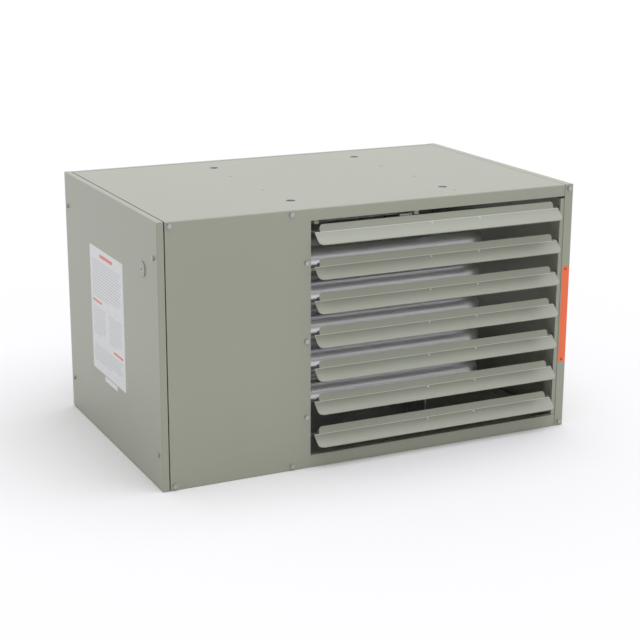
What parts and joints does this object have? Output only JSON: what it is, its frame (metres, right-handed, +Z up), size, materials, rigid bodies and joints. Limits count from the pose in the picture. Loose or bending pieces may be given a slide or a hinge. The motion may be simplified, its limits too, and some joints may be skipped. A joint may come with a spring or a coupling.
{
  "type": "gas unit heater",
  "caption": "Low sheet-steel gas unit heater: louvered warm air outlet, serpentine tube heat exchanger, burners, draft inducer, propeller fan and wire guard.",
  "frame": {"origin": "centre of the casing's base, in the plane it stands on", "axes": "+Z up, -Y out of the louvered front, +Y out of the fan, +X towards the outlet's end"},
  "size_m": [0.8002, 0.6059, 0.457],
  "materials": {
    "sage_paint": "baked powder paint, satin",
    "galvanised_steel": "galvanised sheet",
    "zinc_plate": "bright zinc plate",
    "aluminised_tube": "aluminised steel, bright drawn",
    "burner_steel": "aluminised pressed steel",
    "bright_wire": "bright drawn wire",
    "black_pipe": "black iron pipe",
    "brass": "turned brass",
    "cast_alloy": "die cast, matt",
    "knob_plastic": "moulded plastic",
    "ceramic": "glazed insulator",
    "switch_plastic": "moulded plastic",
    "black_plastic": "moulded plastic",
    "dark_enamel": "dark grey enamel",
    "motor_enamel": "black enamel",
    "hose_rubber": "silicone rubber",
    "board_green": "printed board",
    "core_steel": "varnished laminations",
    "blade_aluminium": "plain pressed aluminium",
    "guard_wire": "painted wire"
  },
  "bodies": {
    "casing": {"bottom_panel": "sage_paint", "burner_1": "burner_steel", "burner_2": "burner_steel", "burner_3": "burner_steel", "burner_4": "burner_steel", "burner_5": "burner_steel", "burner_orifices": "brass", "burner_rack": "galvanised_steel", "casing_screws": "zinc_plate", "control_board": "board_green", "fan_guard": "guard_wire", "fan_guard_side": "guard_wire", "fan_motor": "motor_enamel", "fan_orifice_ring": "galvanised_steel", "flame_sensor": "ceramic", "flue_collar": "galvanised_steel", "flue_collector_box": "galvanised_steel", "front_and_top_sheet": "sage_paint", "gas_manifold": "black_pipe", "gas_supply_pipe": "black_pipe", "gas_valve": "cast_alloy", "hanger_nuts": "galvanised_steel", "hanger_rail_left": "galvanised_steel", "hanger_rail_right": "galvanised_steel", "heat_tube_1": "aluminised_tube", "heat_tube_2": "aluminised_tube", "heat_tube_3": "aluminised_tube", "heat_tube_4": "aluminised_tube", "heat_tube_5": "aluminised_tube", "inducer_housing": "dark_enamel", "inducer_motor": "motor_enamel", "junction_box": "galvanised_steel", "left_access_panel": "sage_paint", "limit_sensor_coil": "bright_wire", "limit_switch": "switch_plastic", "louver_bracket_left": "sage_paint", "louver_bracket_right": "sage_paint", "louver_pivot_pins": "zinc_plate", "louver_springs": "bright_wire", "motor_mount": "dark_enamel", "partition_panel": "galvanised_steel", "pressure_hose": "hose_rubber", "pressure_switch": "black_plastic", "rear_panel": "sage_paint", "right_side_panel": "sage_paint", "rollout_switch": "black_plastic", "spark_igniter": "ceramic", "transformer": "core_steel", "tube_support": "galvanised_steel"},
    "louver_1": {"louver_1": "sage_paint"},
    "louver_2": {"louver_2": "sage_paint"},
    "louver_3": {"louver_3": "sage_paint"},
    "louver_4": {"louver_4": "sage_paint"},
    "louver_5": {"louver_5": "sage_paint"},
    "louver_6": {"louver_6": "sage_paint"},
    "louver_7": {"louver_7": "sage_paint"},
    "fan": {"fan_propeller": "blade_aluminium"},
    "draft_wheel": {"inducer_wheel": "burner_steel"},
    "valve_knob": {"gas_valve_knob": "knob_plastic"}
  },
  "joints": [
    {"name": "louver_1_tilt", "type": "hinge", "parent": "casing", "child": "louver_1", "pos_m": [0.126, -0.243, 0.05804], "axis": [1, 0, 0], "range_deg": [-42, 36]},
    {"name": "louver_2_tilt", "type": "hinge", "parent": "casing", "child": "louver_2", "pos_m": [0.126, -0.243, 0.11754], "axis": [1, 0, 0], "range_deg": [-42, 36]},
    {"name": "louver_3_tilt", "type": "hinge", "parent": "casing", "child": "louver_3", "pos_m": [0.126, -0.243, 0.17704], "axis": [1, 0, 0], "range_deg": [-42, 36]},
    {"name": "louver_4_tilt", "type": "hinge", "parent": "casing", "child": "louver_4", "pos_m": [0.126, -0.243, 0.23654], "axis": [1, 0, 0], "range_deg": [-42, 36]},
    {"name": "louver_5_tilt", "type": "hinge", "parent": "casing", "child": "louver_5", "pos_m": [0.126, -0.243, 0.29605], "axis": [1, 0, 0], "range_deg": [-42, 36]},
    {"name": "louver_6_tilt", "type": "hinge", "parent": "casing", "child": "louver_6", "pos_m": [0.126, -0.243, 0.35555], "axis": [1, 0, 0], "range_deg": [-42, 36]},
    {"name": "louver_7_tilt", "type": "hinge", "parent": "casing", "child": "louver_7", "pos_m": [0.126, -0.243, 0.41505], "axis": [1, 0, 0], "range_deg": [-42, 36]},
    {"name": "fan_spin", "type": "hinge", "parent": "casing", "child": "fan", "pos_m": [0.126, 0.222, 0.2285], "axis": [0, 1, 0], "continuous": true},
    {"name": "draft_wheel_spin", "type": "hinge", "parent": "casing", "child": "draft_wheel", "pos_m": [-0.232, 0.102, 0.22713], "axis": [1, 0, 0], "continuous": true},
    {"name": "valve_knob_turn", "type": "hinge", "parent": "casing", "child": "valve_knob", "pos_m": [-0.316, -0.091, 0.0964], "axis": [0, 0, 1], "range_deg": [-90, 0]}
  ]
}
